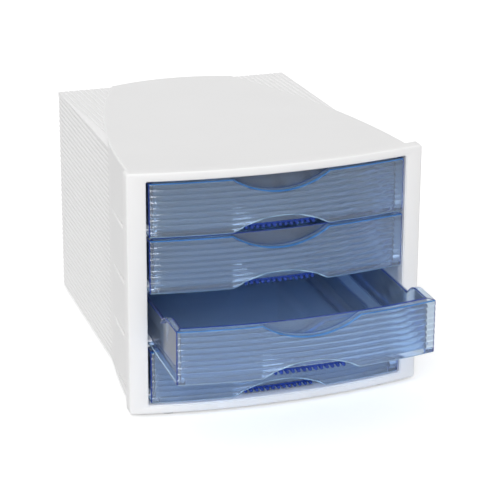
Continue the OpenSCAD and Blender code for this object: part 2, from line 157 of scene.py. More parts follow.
class CaseSettings(bpy.types.PropertyGroup):
    bow: length("Bow", "How far the front bows out at the middle", BOW_MM, 1)
    frame_depth: length("Frame depth", "Depth of the front frame from face to back", 12, 4)
    side_rail: length("Side rails", "Width of the frame's side rails", 17.6, 5)
    end_rail: length("Top and bottom rails", "Height of the frame's top and bottom rails", 8.5, 4)
    corner: length("Corner radius", "Radius of the frame's outer corners", 3, 0.5)
    edge: length("Edge radius", "Radius of the frame's long front edges", 1.6, 0.3)
    skin: length("Skin", "Thickness of the frame's skin", 2.4, 1)
    wall: length("Wall", "Thickness of the case's walls", 2.4, 1)
    tier_lean: length("Tier lean", "How far each tier of the flare leans out", 3.8, 0)
    flutes: count("Flutes", "Number of flutes beside each tier", 10)
    groove_width: length("Groove width", "Width of the grooves between the flutes", 4, 0.2)
    groove_depth: length("Groove depth", "Depth of the grooves between the flutes", 0.7, 0.1)
    foot_edge: length("Foot edges", "Size of the rounded edges of the feet", 0.7, 0)
    color: swatch("Case colour", "Colour of the moulded case", 0.785, 0.782, 0.782)
    foot_color: swatch("Foot colour", "Colour of the feet", 0.62, 0.62, 0.63)


class DrawerSettings(bpy.types.PropertyGroup):
    reeds: count("Reeds", "Number of reeds across each drawer front", 9)
    reed_height: length("Reed height", "How far each reed stands out", 0.9, 0.1)
    plate: length("Front thickness", "Thickness of the drawer front over its reeds", 2.8, 1)
    ledge: length("Ledge depth", "Depth of the ledge on top of each drawer front", 11.2, 4)
    wall: length("Wall", "Thickness of the drawer's walls and ledges", 1.8, 0.8)
    scoop_width: length("Scoop width", "Width of the finger scoop", 94, 20)
    scoop_depth: length("Scoop depth", "Depth of the finger scoop", 14.4, 2)
    arch_height: length("Arch height", "Height of the arch under the drawer front", 13.1, 2)
    body: swatch("Body colour", "Colour of the clear plastic's surface", 0.86, 0.94, 0.98)
    shade: swatch("Passing light", "Colour of the light that falls through one wall",
                  0.95, 0.958, 0.962)
    clearness: FloatProperty(
        name="Clearness", description="Share of the light that the plastic lets through",
        default=0.95, min=0.0, max=1.0, subtype="FACTOR")
    tint: swatch("Tint", "Colour of the light that goes through the clear plastic", 0.22, 0.52, 0.92)
    # Painted light: the edge colour is painted deep-blue shade, the rim colour a painted highlight, the
    # pale edge colour a painted glow
    edge_color: swatch("Edge colour", "Colour of the inner edges, where the plastic looks deepest",
                       0.028, 0.058, 0.26)
    rim_color: swatch("Rim colour", "Colour of the front rims and the scoop's rim", 0.05, 0.19, 0.47)
    pale_color: swatch("Pale edge colour", "Colour of the lower edges, where light comes out",
                       0.42, 0.62, 0.88)
    tint_density: amount("Tint density", "How fast the clear plastic takes up the other colours",
                         130.0)


class StageSettings(bpy.types.PropertyGroup):
    azimuth: angle("Azimuth", "Turn of the camera from straight ahead", 18.404)
    elevation: angle("Elevation", "Angle at which the camera looks down", 20.632)
    roll: angle("Roll", "Turn of the camera about its own axis", 0.235)
    camera_place: FloatVectorProperty(
        name="Camera place", description="Where the camera stands",
        default=(-0.6106, -1.86985, 0.8531), subtype="TRANSLATION", unit="LENGTH")
    lens: FloatProperty(
        name="Lens", description="Focal length on a 36 mm sensor, in millimetres",
        default=154.29, min=10.0)
    key_power: amount("Key light", "Strength of the broad light from the front", 1.68)
    fill_power: amount("Fill light", "Strength of the light from above", 0.7)
    sky_power: amount("Surroundings", "Strength of the white surroundings as a light", 0.5)


# ---- Mesh helpers ----


def new_object(name, data):
    """A new object in the scene."""
    obj = bpy.data.objects.new(name, data)
    bpy.context.scene.collection.objects.link(obj)
    return obj


def ring_mesh(name, rings, wrap=False, floored=False):
    """A mesh over rings of equally many points, capped at both ends or wrapped round.

    Floored rings are open strips: their first points bound one face, and their last another.
    """
    count = len(rings[0])
    points = [p for ring in rings for p in ring]
    faces = []
    for i in range(len(rings) if wrap else len(rings) - 1):
        here, there = i * count, (i + 1) % len(rings) * count
        for j in range(count - 1 if floored else count):
            k = (j + 1) % count
            faces.append((here + j, here + k, there + k, there + j))
    if floored:
        faces += [tuple(range(0, len(points), count)), tuple(range(count - 1, len(points), count))]
    elif not wrap:
        faces += [tuple(range(count)), tuple(range(len(points) - count, len(points)))]
    mesh = bpy.data.meshes.new(name)
    mesh.from_pydata(points, [], faces)
    return mesh


def skin(name, rings, wrap=False, floored=False, kind=None):
    """A clean, closed mesh over rings of points.

    The function kind gives the material number of the face after ring i and point j, or of a cap,
    where j is None.
    """
    mesh = ring_mesh(name, rings, wrap, floored)
    if kind is not None:
        strips = len(rings) if wrap else len(rings) - 1
        across = len(rings[0]) - 1 if floored else len(rings[0])
        kinds = [kind(i, j) for i in range(strips) for j in range(across)]
        kinds += [kind(i, None) for i in (0, len(rings) - 1)][:len(mesh.polygons) - len(kinds)]
        mesh.polygons.foreach_set("material_index", kinds)
    return clean(mesh)


def clean(mesh):
    """Merges doubles, drops faces that have no area and turns all faces outwards."""
    bm = bmesh.new()
    bm.from_mesh(mesh)
    bmesh.ops.remove_doubles(bm, verts=bm.verts, dist=MERGE)
    bmesh.ops.dissolve_degenerate(bm, dist=MERGE, edges=bm.edges)
    bmesh.ops.recalc_face_normals(bm, faces=bm.faces)
    bm.to_mesh(mesh)
    bm.free()
    return mesh


def fill_slots(mesh, materials, kinds=None):
    """Gives a mesh its materials. Its faces keep their material numbers, or get those in kinds."""
    if kinds is None:
        kinds = [face.material_index if len(materials) > 1 else 0 for face in mesh.polygons]
    mesh.materials.clear()
    for material in materials:
        mesh.materials.append(material)
    mesh.polygons.foreach_set("material_index", kinds)


def piece(name, mesh, materials, body, slot, *nodes, sharp=40.0):
    """A finished piece: shaded, given its materials, set to ride, and standing for its CAD nodes."""
    mesh.shade_smooth()
    mesh.set_sharp_from_angle(angle=math.radians(sharp))
    for face in mesh.polygons:
        face.use_smooth = face.loop_total < 5
    fill_slots(mesh, materials)
    mesh.name = name
    obj = new_object(name, mesh)
    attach(obj, body)
    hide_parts(*nodes)


def plain_mesh(helper):
    """The plain mesh that a helper's modifiers make. The helper is then taken away."""
    evaluated = helper.evaluated_get(bpy.context.evaluated_depsgraph_get())
    made = bpy.data.meshes.new_from_object(evaluated)
    helper.modifiers.clear()
    bpy.data.objects.remove(helper)
    return made


def moulded_copy(node, edge=0.0):
    """A merged copy of a CAD node, with its flat faces made whole and its edges rounded."""
    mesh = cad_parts[node].data.copy()
    bm = bmesh.new()
    bm.from_mesh(mesh)
    bmesh.ops.remove_doubles(bm, verts=bm.verts, dist=5e-6)
    bmesh.ops.dissolve_limit(bm, angle_limit=math.radians(0.05), verts=bm.verts, edges=bm.edges)
    bm.to_mesh(mesh)
    bm.free()
    helper = new_object(node + "_helper", mesh)
    soft = helper.modifiers.new("Rounded edges", "BEVEL")
    soft.width = edge
    soft.segments = 2
    soft.limit_method = "ANGLE"
    soft.angle_limit = math.radians(28)
    return plain_mesh(helper)


def bow_depth(x, bow):
    """Depth of the bowed front behind the plane of its ends."""
    radius = (HALF_WIDTH**2 + bow**2) / (2 * bow)
    return radius - bow - math.sqrt(radius**2 - x**2)


def spread(low, high, step):
    """Even steps from low to high, both of them included."""
    count = max(1, round((high - low) / step))
    return [low + (high - low) * i / count for i in range(count + 1)]


# ---- Node helpers ----


def fill_inputs(tree, node, inputs):
    """Sets a node's inputs by name or number, or links them where the value is a socket."""
    for name, value in inputs.items():
        if isinstance(value, bpy.types.NodeSocket):
            tree.links.new(value, node.inputs[name])
        else:
            node.inputs[name].default_value = value


def add_node(tree, kind, inputs, output=0, **settings):
    """One output of a new node, with its settings made before its inputs."""
    node = tree.nodes.new(kind)
    for name, value in settings.items():
        setattr(node, name, value)
    fill_inputs(tree, node, inputs)
    return node.outputs[output]


def calc(tree, value, *steps):
    """A value after one math node for each step, which is an operation and what it works with."""
    for operation, *others in steps:
        value = add_node(tree, "ShaderNodeMath", dict(enumerate([value, *others])),
                         operation=operation)
    return value


# ---- Materials ----


def new_material(name):
    """A material, its tree and its shader."""
    material = bpy.data.materials.new(name)
    material.use_nodes = True
    return material, material.node_tree, material.node_tree.nodes["Principled BSDF"]


def object_noise(tree, scale, detail, stretch=(1, 1, 1)):
    """Noise on the piece's own coordinates, in features of 1 / scale metres, which may be stretched."""
    place = add_node(tree, "ShaderNodeTexCoord", {}, "Object")
    turned = add_node(tree, "ShaderNodeMapping", {"Vector": place, "Scale": stretch})
    return add_node(tree, "ShaderNodeTexNoise",
                    {"Vector": turned, "Scale": scale, "Detail": detail}, "Fac")


def ranged(tree, noise, low, high):
    """The middle range of a noise, spread from low to high."""
    return add_node(tree, "ShaderNodeMapRange", {
        "Value": noise, "From Min": 0.3, "From Max": 0.7, "To Min": low, "To Max": high}, "Result")


def drifting(tree, noise, color, low, high):
    """A colour that drifts with a noise between two shares of itself."""
    dark, light = [[min(1, c * share) for c in color] for share in (low, high)]
    return add_node(tree, "ShaderNodeMix", {"Factor": noise, "A": (*dark, 1), "B": (*light, 1)},
                    "Result", data_type="RGBA")


def bumps(tree, noise, strength, height):
    return add_node(tree, "ShaderNodeBump",
                    {"Height": noise, "Strength": strength, "Distance": height}, "Normal")


def matte_plastic(name, color, grain, roughness):
    """Moulded plastic with a fine spark-eroded grain and a faint drift in its colour."""
    material, tree, shader = new_material(name)
    fine, broad = object_noise(tree, 1 / grain, 2), object_noise(tree, 14, 3)
    fill_inputs(tree, shader, {
        "Base Color": drifting(tree, broad, color, 0.975, 1.015),
        "Roughness": ranged(tree, fine, roughness - 0.05, roughness + 0.05),
        "Normal": bumps(tree, fine, 0.06, 0.04 * MM)})
    return material


def clear_plastic(name, settings):
    """Clear tinted plastic, faintly milky: deeper in colour where light runs along a wall."""
    material, tree, shader = new_material(name)
    flow = object_noise(tree, 60, 3, (0.5, 1, 2.5))
    fill_inputs(tree, shader, {
        "Base Color": (*settings.body, 1),
        "Transmission Weight": settings.clearness,
        "IOR": PLASTIC_IOR,
        "Roughness": ranged(tree, flow, 0.03, 0.09),
        "Normal": bumps(tree, flow, 0.01, 0.2 * MM)})
    shadow = add_node(tree, "ShaderNodeLightPath", {}, "Is Shadow Ray")
    passing = add_node(tree, "ShaderNodeBsdfTransparent", {"Color": (*settings.shade, 1)})
    surface = add_node(tree, "ShaderNodeMixShader",
                       {"Fac": shadow, 1: shader.outputs["BSDF"], 2: passing})
    depth = add_node(tree, "ShaderNodeVolumeAbsorption",
                     {"Color": (*settings.tint, 1), "Density": settings.tint_density})
    fill_inputs(tree, tree.nodes["Material Output"], {"Surface": surface, "Volume": depth})
    return material


def edge_plastic(name, color, gloss, clearness):
    """Plastic with light painted into its colour, for a cut or rounded edge: painted shade, highlight
    or glow that stands in for light running inside the clear plastic.
    """
    material, tree, shader = new_material(name)
    noise = object_noise(tree, 45, 2)
    fill_inputs(tree, shader, {
        "Base Color": drifting(tree, noise, color, 0.7, 1.35),
        "Roughness": ranged(tree, noise, 0.1, 0.2),
        "IOR": PLASTIC_IOR,
        "Specular IOR Level": gloss,
        "Transmission Weight": clearness})
    return material


def shared(name, make, **values):
    """The material of that name, made on first use."""
    return bpy.data.materials.get(name) or make(name, **values)


def case_plastic(case):
    return shared("satin_case_plastic", matte_plastic, color=case.color, grain=0.4 * MM,
                  roughness=0.45)


def foot_rubber(case):
    return shared("soft_foot_rubber", matte_plastic, color=case.foot_color, grain=0.6 * MM,
                  roughness=0.7)


def drawer_plastic(drawer):
    """The clear plastic, and the same with light painted in: painted deep-blue shade in edges, a
    painted highlight on front rims and a painted glow at thin edges.
    """
    return (shared("clear_blue_plastic", clear_plastic, settings=drawer),
            shared("deep_blue_edge", edge_plastic, color=drawer.edge_color, gloss=0.12, clearness=0.0),
            shared("bright_blue_rim", edge_plastic, color=drawer.rim_color, gloss=0.4, clearness=0.15),
            shared("pale_blue_edge", edge_plastic, color=drawer.pale_color, gloss=0.5, clearness=0.2))


# ---- Geometry node trees ----


def new_tree(name, *inputs):
    """A tree and its inputs: the geometry, the named ones and the material."""
    tree = bpy.data.node_groups.new(name, "GeometryNodeTree")
    for label, kind in (("Geometry", "Geometry"), *inputs, ("Material", "Material")):
        tree.interface.new_socket(label, in_out="INPUT", socket_type="NodeSocket" + kind)
    tree.interface.new_socket("Geometry", in_out="OUTPUT", socket_type="NodeSocketGeometry")
    return tree, tree.nodes.new("NodeGroupInput").outputs


def finish_tree(tree, geometry, material):
    """Ends a tree: instances made real, and the material set."""
    real = add_node(tree, "GeometryNodeRealizeInstances", {"Geometry": geometry})
    painted = add_node(tree, "GeometryNodeSetMaterial", {"Geometry": real, "Material": material})
    tree.links.new(painted, tree.nodes.new("NodeGroupOutput").inputs["Geometry"])
    return tree


def coordinate(tree, axis):
    """One coordinate of a tree's points."""
    place = add_node(tree, "GeometryNodeInputPosition", {})
    return add_node(tree, "ShaderNodeSeparateXYZ", {0: place}, axis)


def vector(tree, **parts):
    return add_node(tree, "ShaderNodeCombineXYZ", parts)


def row_tree(name, mark, axis, profile, *sizes):
    """A tree that moves the marked points along one axis, by a profile that repeats in rows.

    The function profile gives the move from the tree, its inputs and the count of rows below.
    """
    tree, given = new_tree(name, ("Lowest", "Float"), ("Pitch", "Float"), *sizes)
    rows = calc(tree, coordinate(tree, "Z"), ("SUBTRACT", given["Lowest"]), ("DIVIDE", given["Pitch"]))
    marked = add_node(tree, "GeometryNodeInputNamedAttribute", {"Name": mark}, "Attribute",
                      data_type="FLOAT")
    move = calc(tree, profile(tree, given, rows), ("MULTIPLY", marked))
    moved = add_node(tree, "GeometryNodeSetPosition",
                     {"Geometry": given["Geometry"], "Offset": vector(tree, **{axis: move})})
    return finish_tree(tree, moved, given["Material"])


def reed_tree():
    """Raises a flat face, marked by the attribute reed_face, into rows of rounded reeds."""

    def reeds(tree, given, rows):
        across = calc(tree, rows, ("FRACT",), ("MULTIPLY", 2), ("SUBTRACT", 1))
        return calc(tree, across, ("MULTIPLY", across), ("SUBTRACT", 1), ("MULTIPLY", given["Height"]))

    return row_tree("Reeds", "reed_face", "Y", reeds, ("Height", "Float"))


def groove_tree():
    """Cuts rows of round grooves, one above another, into a wall marked by groove_side."""

    def grooves(tree, given, rows):
        share = calc(tree, rows, ("SUBTRACT", calc(tree, rows, ("ROUND",))), ("ABSOLUTE",),
                     ("MULTIPLY", given["Pitch"]), ("DIVIDE", given["Half width"]), ("MINIMUM", 1))
        return calc(tree, share, ("MULTIPLY", math.pi), ("COSINE",), ("ADD", 1), ("MULTIPLY", 0.5),
                    ("MULTIPLY", given["Depth"]))

    return row_tree("Grooves", "groove_side", "X", grooves, ("Half width", "Float"), ("Depth", "Float"))


def bead_tree():
    """Sets a row of beads, the shape that comes in, on a bowed line of points."""
    tree, given = new_tree("Grip beads", ("Count", "Int"), ("Pitch", "Float"), ("Bow radius", "Float"),
                           ("Front", "Vector"))
    start = calc(tree, given["Count"], ("SUBTRACT", 1), ("MULTIPLY", given["Pitch"]),
                 ("MULTIPLY", -0.5))
    line = add_node(tree, "GeometryNodeMeshLine", {
        "Count": given["Count"], "Start Location": vector(tree, X=start),
        "Offset": vector(tree, X=given["Pitch"])}, mode="OFFSET")
    square = calc(tree, coordinate(tree, "X"), ("ABSOLUTE",), ("POWER", 2))
    root = calc(tree, given["Bow radius"], ("POWER", 2), ("SUBTRACT", square), ("SQRT",))
    depth = calc(tree, given["Bow radius"], ("SUBTRACT", root))
    place = add_node(tree, "ShaderNodeVectorMath", {0: vector(tree, Y=depth), 1: given["Front"]},
                     operation="ADD")
    bent = add_node(tree, "GeometryNodeSetPosition", {"Geometry": line, "Offset": place})
    copies = add_node(tree, "GeometryNodeInstanceOnPoints",
                      {"Points": bent, "Instance": given["Geometry"]})
    return finish_tree(tree, copies, given["Material"])


def run_tree(mesh, make_tree, **values):
    """The mesh that a tree makes of a mesh, with its inputs set by name."""
    label = make_tree.__name__
    tree = bpy.data.node_groups.get(label) or make_tree()
    tree.name = label
    helper = new_object("helper", mesh)
    nodes = helper.modifiers.new("Rule", "NODES")
    nodes.node_group = tree
    for item in tree.interface.items_tree:
        key = item.name.lower().replace(" ", "_")
        if item.in_out == "INPUT" and key in values:
            nodes[item.identifier] = values[key]
    return plain_mesh(helper)


# ---- The case ----


def rounded_loop(half_width, low, high, radius):
    """Points round a rectangle with round corners, alike in count for all sizes."""
    per_corner, per_end, per_side = 6, 72, 24
    arcs = []
    for side, level, inwards, start in ((1, high, -1, 0), (-1, high, -1, 90),
                                        (-1, low, 1, 180), (1, low, 1, 270)):
        x, z = side * (half_width - radius), level + inwards * radius
        turns = [math.radians(start + 90 * k / per_corner) for k in range(per_corner + 1)]
        arcs.append([(x + radius * math.cos(a), z + radius * math.sin(a)) for a in turns])
    loop = []
    for arc, after, steps in zip(arcs, arcs[1:] + arcs[:1], (per_end, per_side) * 2):
        (x, z), (goal_x, goal_z) = arc[-1], after[0]
        shares = [k / steps for k in range(1, steps)]
        loop += arc + [(x + (goal_x - x) * t, z + (goal_z - z) * t) for t in shares]
    return loop


def bowed_frame(case):
    """The front frame: a bowed ring with round edges, a step round its opening, open behind."""
    low, high = FRAME_LOW.z, FRAME_HIGH.z
    plane = FRAME_LOW.y + case.bow
    step, soft = 1.0 * MM, 0.3 * MM
    least_corner, opening_corner = 0.4 * MM, 2 * MM

    def bowed(half_width, bottom, top, radius, depth):
        loop = rounded_loop(half_width, bottom, top, radius)
        return [(x, plane + bow_depth(x, case.bow) + depth, z) for x, z in loop]

    def outer(inset, depth):
        return bowed(HALF_WIDTH - inset, low + inset, high - inset,
                     max(case.corner - inset, least_corner), depth)

    def inner(outset, depth):
        return bowed(HALF_WIDTH - case.side_rail + outset, low + case.end_rail - outset,
                     high - case.end_rail + outset, opening_corner + outset, depth)

    rings = [outer(0, case.frame_depth)]
    for degrees in (0, 22.5, 45, 67.5, 90):
        a = math.radians(degrees)
        rings.append(outer(case.edge * (1 - math.cos(a)), case.edge * (1 - math.sin(a))))
    rings += [inner(step + soft, 0), inner(step + 0.3 * soft, 0.3 * soft), inner(step, soft),
              inner(step, step - 0.1 * MM), inner(step - 0.1 * MM, step),
              inner(soft, step), inner(0.3 * soft, step + 0.3 * soft), inner(0, step + soft),
              inner(0, case.frame_depth), inner(case.skin, case.frame_depth),
              inner(case.skin, case.skin), outer(case.skin, case.skin),
              outer(case.skin, case.frame_depth)]
    return skin("front_frame", rings, wrap=True)


def circle_through(a, b, c):
    """Centre and radius of the circle through three points."""
    d = 2 * (a[0] * (b[1] - c[1]) + b[0] * (c[1] - a[1]) + c[0] * (a[1] - b[1]))
    squares = [p[0] ** 2 + p[1] ** 2 for p in (a, b, c)]
    x = (squares[0] * (b[1] - c[1]) + squares[1] * (c[1] - a[1]) + squares[2] * (a[1] - b[1])) / d
    y = (squares[0] * (c[0] - b[0]) + squares[1] * (a[0] - c[0]) + squares[2] * (b[0] - a[0])) / d
    return x, y, math.hypot(a[0] - x, a[1] - y)


def arc_x(circle, y):
    return circle[0] + math.sqrt(circle[2] ** 2 - (y - circle[1]) ** 2)


class SideShape:
    """The case's right side: where its wall lies at a given depth and height."""

    def __init__(self, case):
        self.case = case
        self.front = case.frame_depth
        self.tier = (SIDE_TOP - PLINTH) / 4
        self.flute = self.tier / case.flutes
        self.half = case.groove_width / 2
        self.taper = SIDE_TAPER / (CASE_BACK - FLARE)
        crown = HALF_WIDTH - CROWN_INSET
        foot = crown - case.tier_lean
        self.crown, self.foot = self.plan_curve(crown), self.plan_curve(foot)
        self.inner = self.plan_curve(foot - case.wall, case.wall)

    def plan_curve(self, start, inset=0.0):
        """A curve in plan, from a half width at the frame through the side's end of the flare."""
        return circle_through((start, self.front), (CASE_HALF - inset, FLARE),
                              (CURVE_REAR - inset, CASE_BACK))

    def tilt(self, y):
        return max(0.0, FLARE - y) * ROOF_SLOPE

    def top(self, y):
        return ROOF_REAR - ROOF_STEP + (CASE_BACK - y) * ROOF_SLOPE

    def row_level(self, n, step):
        return PLINTH + n * self.flute + step * self.half

    def tier_face(self, y, level):
        """Half width of the leaning tiers at a level that is counted without their tilt."""
        k = min(3, max(0, int((level - PLINTH) / self.tier)))
        height = self.tier if k < 3 else TOP_TIER
        share = min(1.0, max(0.0, (level - PLINTH - k * self.tier) / height))
        low, high = arc_x(self.foot, y), arc_x(self.crown, y)
        return low + (high - low) * share

    def ledge_row(self, y, n, step):
        """Half width and level of one row of a tier's ledge: round edge, ledge and crease."""
        level = PLINTH + n * self.flute
        low, high = arc_x(self.foot, y), arc_x(self.crown, y)
        width = high - low
        soft, crease = min(1.7 * MM, 0.6 * width), min(0.9 * MM, 0.3 * width)
        ledge = {
            -1.0: (high, -soft), -0.6: (high - 0.29 * soft, -0.29 * soft), -0.25: (high - soft, 0.0),
            0.0: (low - crease, 0.0), 0.25: (low - crease, crease), 0.6: (low, 1.3 * crease),
            1.0: (self.tier_face(y, level + self.half), self.half)}[step]
        share = min(1.0, width / (1.2 * MM))
        x = CASE_HALF + (ledge[0] - CASE_HALF) * share + (1 - share) * (low - CASE_HALF)
        return x, level + step * self.half * (1 - share) + ledge[1] * share

    def rows(self):
        for n in range(4 * self.case.flutes):
            for step in FLUTE_STEPS:
                if n or step > -0.5:
                    yield n, step

    def flare_section(self, share):
        """A section through the flare, from the frame at 0 to the flutes at 1."""

        def placed(width, level):
            """A point at a half width and a height that follow its depth."""
            front = bow_depth(width(self.front), self.case.bow) + self.front
            y = front + (FLARE - front) * share
            return width(max(y, self.front)), y, level(y)

        def tilted(level):
            """A point of the leaning tiers, at a level that is counted without their tilt."""
            return placed(lambda y: self.tier_face(y, level), lambda y: level + self.tilt(y))

        def ledge(n, step):
            return placed(lambda y: self.ledge_row(y, n, step)[0],
                          lambda y: self.ledge_row(max(y, self.front), n, step)[1] + self.tilt(y))

        def inside(y):
            return arc_x(self.inner, y)

        def return_edge(y):
            return CASE_HALF - FLANGE

        points = [placed(lambda y: arc_x(self.crown, y), lambda y: 0.0)]
        for n, step in self.rows():
            points.append(tilted(self.row_level(n, step)) if n % self.case.flutes else ledge(n, step))
        points += [tilted(SIDE_TOP),
                   placed(lambda y: self.tier_face(y, self.top(FLARE)), self.top),
                   placed(inside, self.top), placed(inside, lambda y: SIDE_TOP - 3 * MM),
                   placed(inside, lambda y: self.case.wall),
                   placed(return_edge, lambda y: self.case.wall),
                   placed(return_edge, lambda y: 0.0)]
        return points

    def fluted_section(self, y, inset=0.0, closed=False):
        """A section behind the flare; a closed one fills the return at the rear edge."""
        slope = self.taper * (y - FLARE)
        x, core = CASE_HALF - slope - inset, CASE_HALF - FLANGE - slope
        top, wall = self.top(y), self.case.wall
        bevel = SIDE_TOP - (SIDE_TOP - ROOF_REAR) * (y - FLARE) / (CASE_BACK - FLARE)
        points = [(x, y, 0.0)]
        for n, step in self.rows():
            points.append((x, y, min(self.row_level(n, step), top - 0.01 * MM * (8 - step))))
        bevel = min(bevel, top - 0.02 * MM)
        cut = max(0.0, top - bevel)
        inner = core if closed else x + inset - wall
        return points + [(x, y, bevel), (x - cut, y, top), (core if closed else inner - cut, y, top),
                         (inner, y, bevel - wall), (inner, y, wall), (core, y, wall), (core, y, 0.0)]


def case_side(case, side):
    """One side of the case with its four leaning tiers; a tree then cuts the flutes behind them."""
    shape = SideShape(case)
    rings = [shape.flare_section(k / FLARE_STEPS) for k in range(FLARE_STEPS + 1)]
    flared = len(rings)
    edge = CASE_BACK - case.wall
    rings += [shape.fluted_section(y) for y in (*FLUTED_DEPTHS, edge)]
    rings.append(shape.fluted_section(edge, closed=True))
    for inset, back in REAR_ROUND_MM:
        rings.append(shape.fluted_section(CASE_BACK - back * MM, inset * MM, True))
    plane, low = FRAME_LOW.y + case.bow, FRAME_LOW.z
    rings = [[(side * x, plane + y, low + z) for x, y, z in ring] for ring in rings]
    rows = len(list(shape.rows()))
    marks = [float(-side) if r >= flared and 0 < j <= rows else 0.0
             for r, ring in enumerate(rings) for j in range(len(ring))]
    mesh = ring_mesh("side", rings)
    mesh.attributes.new("groove_side", "FLOAT", "POINT").data.foreach_set("value", marks)
    made = run_tree(mesh, groove_tree, lowest=low + PLINTH, pitch=shape.flute,
                    half_width=case.groove_width / 2, depth=case.groove_depth,
                    material=case_plastic(case))
    made.attributes.remove(made.attributes["groove_side"])
    return clean(made)


# ---- The drawers ----


def front_section(x, drawer, bow, inset=0.0):
    """The front's closed section at one place across it, from the foot of its face upwards."""
    half = drawer.scoop_width / 2
    beside = abs(x) >= half
    soft, rim, rear_rim, foot_rim, foot_rise = [
        max(width * MM - inset, 0.1 * MM) for width in (FRONT_EDGES_MM if beside else SCOOP_EDGES_MM)]
    band = END_BAND if abs(x) > TRAY_HALF else BAND
    plane = bow_depth(x, bow)
    face = plane + drawer.reed_height
    back = face - drawer.reed_height + drawer.plate
    scoop_r = (half**2 + drawer.scoop_depth**2) / (2 * drawer.scoop_depth)
    arch_r = (half**2 + drawer.arch_height**2) / (2 * drawer.arch_height)
    scoop_z = FRONT_HEIGHT - drawer.scoop_depth + scoop_r

    top, foot = FRONT_HEIGHT, 0.0
    if not beside:
        top = min(top, scoop_z - math.sqrt(scoop_r**2 - x**2))
        foot = max(foot, drawer.arch_height - arch_r + math.sqrt(arch_r**2 - x**2))
    under = FRONT_HEIGHT - drawer.wall
    outside = scoop_r + drawer.wall
    if abs(x) < outside:
        under = min(under, scoop_z - math.sqrt(outside**2 - x**2))

    rear = plane + drawer.ledge - drawer.wall - GAP
    if abs(x) > TRAY_HALF:
        inner = bow_depth(TRAY_HALF, bow) + drawer.ledge - drawer.wall / 2
        outer = bow_depth(FRONT_HALF, bow)
        along = (abs(x) - TRAY_HALF) / (FRONT_HALF - TRAY_HALF)
        rear = min(rear, inner + (outer - inner) * along)
    rear = max(rear, back + soft)

    rows = drawer.reeds * REED_ROWS
    points = [(face + foot_rim + inset, foot + inset)]
    for z in [FRONT_HEIGHT * k / rows for k in range(rows + 1)]:
        points.append((face + inset, min(max(z, foot + foot_rise + inset), top - rim - inset)))
    band_front = max(rear - rear_rim - band, face + rim + 0.1 * MM)
    points += [(face + rim + inset, top - inset), (band_front - inset, top - inset),
               (rear - rear_rim - inset, top - inset),
               (rear - inset, top - rear_rim - inset), (rear - inset, under + soft + inset),
               (rear - soft - inset, under + inset), (back - inset, under + inset),
               (back - inset, foot + soft + inset), (back - soft - inset, foot + inset)]
    return [(x, y, z) for y, z in points]


def reeded_front(drawer, bow, materials):
    """A drawer's front on its own plane: plate, ledge and scoop trough in one sweep, then reeds."""
    half = drawer.scoop_width / 2
    across = set(spread(-FRONT_HALF + FRONT_END, FRONT_HALF - FRONT_END, 2 * MM))
    for x in (half, half - 0.4 * MM, half + 0.9 * MM, TRAY_HALF, FRONT_HALF - 1.5 * MM):
        across |= {x, -x}
    rings = [front_section(x, drawer, bow) for x in sorted(across)]
    for degrees in (45, 90):
        a = math.radians(degrees)
        x, inset = FRONT_HALF - FRONT_END * (1 - math.sin(a)), FRONT_END * (1 - math.cos(a))
        rings.append(front_section(x, drawer, bow, inset))
        rings.insert(0, front_section(-x, drawer, bow, inset))
    rim = drawer.reeds * REED_ROWS + 1

    def kind(ring, point):
        """The ends and the ledge's rear band get painted deep-blue shade, the rim a painted highlight
        and the foot a painted glow.
        """
        x = abs(rings[ring][0][0] + rings[min(ring + 1, len(rings) - 1)][0][0]) / 2
        if point is None or x > FRONT_HALF - FRONT_END:
            return PAINTED_SHADE
        if point in (rim + 2, rim + 3) or (point == rim + 4 and x > TRAY_HALF):
            return PAINTED_SHADE
        return {0: PAINTED_GLOW, rim: PAINTED_HIGHLIGHT}.get(point, CLEAR)

    mesh = skin("front", rings, kind=kind)
    mark = mesh.attributes.new("reed_face", "FLOAT", "POINT")
    reach = drawer.reed_height + 0.75 * MM
    for vertex, entry in zip(mesh.vertices, mark.data):
        entry.value = 1.0 if vertex.co.y - bow_depth(vertex.co.x, bow) < reach else 0.0
    kinds = [face.material_index for face in mesh.polygons]
    made = run_tree(mesh, reed_tree, lowest=0.0, pitch=FRONT_HEIGHT / drawer.reeds,
                    height=drawer.reed_height, material=materials[CLEAR])
    made.attributes.remove(made.attributes["reed_face"])
    fill_slots(made, materials, kinds)
    return made


